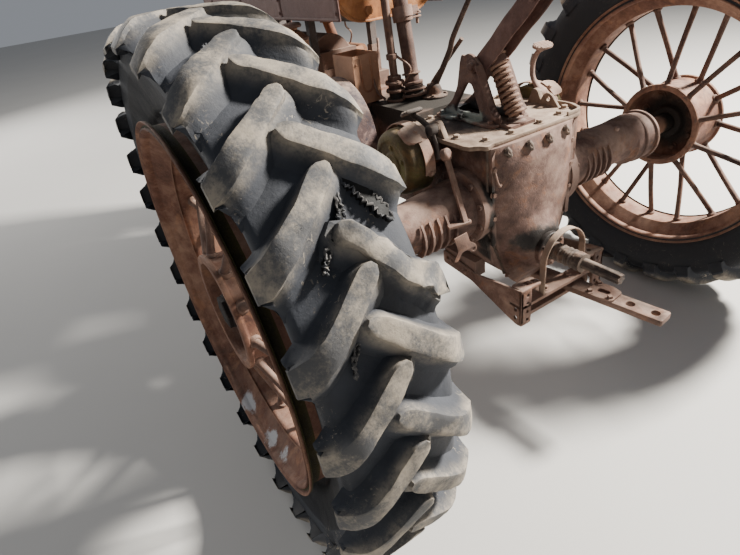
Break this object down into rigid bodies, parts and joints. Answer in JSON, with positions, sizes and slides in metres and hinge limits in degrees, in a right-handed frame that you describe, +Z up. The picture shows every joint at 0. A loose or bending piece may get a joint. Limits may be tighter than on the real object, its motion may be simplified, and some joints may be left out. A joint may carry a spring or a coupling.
{
  "type": "row-crop tractor",
  "caption": "Old row-crop tractor, rusted, with tall spoked rear wheels on chevron tyres, a close pair of steered front wheels, hood, open steering shaft and sprung seat bar.",
  "frame": {"origin": "on the ground, midway between the foremost point of the front tyres and the rearmost point of the rear tyres, and midway between the rear wheels", "axes": "+Z up; the tractor faces -Y; +X is its left side"},
  "size_m": [2.142, 3.2699, 1.8075],
  "materials": {
    "rusty_casting": "rusted, dry, tan to brown",
    "rusty_steel": "rusted sheet and bar",
    "rusty_rim": "orange-brown rust",
    "oily_iron": "black, oily and dusty",
    "faded_red": "dull maroon paint, worn",
    "olive_drum": "dull olive paint",
    "old_tyre": "cracked grey rubber"
  },
  "bodies": {
    "chassis": {"transmission_case": "rusty_casting", "rear_cover": "rusty_casting", "top_cover": "rusty_casting", "axle_housing_left": "rusty_casting", "axle_housing_right": "rusty_casting", "brake_drums": "olive_drum", "brake_guards": "rusty_steel", "belt_pulley": "rusty_steel", "pto_shaft": "oily_iron", "pto_guard": "rusty_steel", "drawbar": "rusty_steel", "drawbar_frame": "rusty_steel", "seat_bracket": "oily_iron", "seat_spring": "rusty_steel", "seat_bar": "rusty_steel", "seat_pan": "rusty_steel", "pedal_left": "rusty_steel", "pedal_right": "rusty_steel", "levers": "oily_iron", "steering_post": "rusty_casting", "throttle_tube": "rusty_steel", "tool_box": "rusty_steel", "clutch_housing": "rusty_casting", "frame_rails": "rusty_steel", "engine_block": "rusty_casting", "cylinder_head": "rusty_casting", "manifold": "rusty_steel", "exhaust_stack": "rusty_steel", "air_cleaner": "rusty_steel", "radiator": "oily_iron", "grille": "faded_red", "cooling_fan": "oily_iron", "hood": "faded_red", "fuel_tank": "rusty_steel", "front_bolster": "rusty_casting", "steering_gear": "rusty_casting"},
    "rear_wheel_left": {"rear_rim_left": "rusty_rim", "rear_tyre_left": "old_tyre"},
    "rear_wheel_right": {"rear_rim_right": "rusty_rim", "rear_tyre_right": "old_tyre"},
    "front_steering": {"front_post": "rusty_casting"},
    "front_wheel_left": {"front_rim_left": "rusty_rim", "front_tyre_left": "old_tyre"},
    "front_wheel_right": {"front_rim_right": "rusty_rim", "front_tyre_right": "old_tyre"},
    "wheel_of_driver": {"steering_wheel": "rusty_steel"}
  },
  "joints": [
    {"name": "rear_left_spin", "type": "hinge", "parent": "chassis", "child": "rear_wheel_left", "pos_m": [0.932, 0.93, 0.705], "axis": [1, 0, 0], "continuous": true},
    {"name": "rear_right_spin", "type": "hinge", "parent": "chassis", "child": "rear_wheel_right", "pos_m": [-0.932, 0.93, 0.705], "axis": [-1, 0, 0], "continuous": true},
    {"name": "steering", "type": "hinge", "parent": "chassis", "child": "front_steering", "pos_m": [0, -1.29, 0.78], "axis": [0, 0, 1], "range_deg": [-60, 60]},
    {"name": "front_left_spin", "type": "hinge", "parent": "front_steering", "child": "front_wheel_left", "pos_m": [0.158, -1.29, 0.34462], "axis": [0.9986, 0, -0.0523], "continuous": true},
    {"name": "front_right_spin", "type": "hinge", "parent": "front_steering", "child": "front_wheel_right", "pos_m": [-0.158, -1.29, 0.34462], "axis": [-0.9986, 0, -0.0523], "continuous": true},
    {"name": "steering_wheel_turn", "type": "hinge", "parent": "chassis", "child": "wheel_of_driver", "pos_m": [0, -1.29, 1.566], "axis": [0, 0.9998, 0.0174], "range_deg": [-600, 600]}
  ],
  "couplings": [
    {"joint": "steering_wheel_turn", "follows": "steering", "ratio": 10}
  ]
}
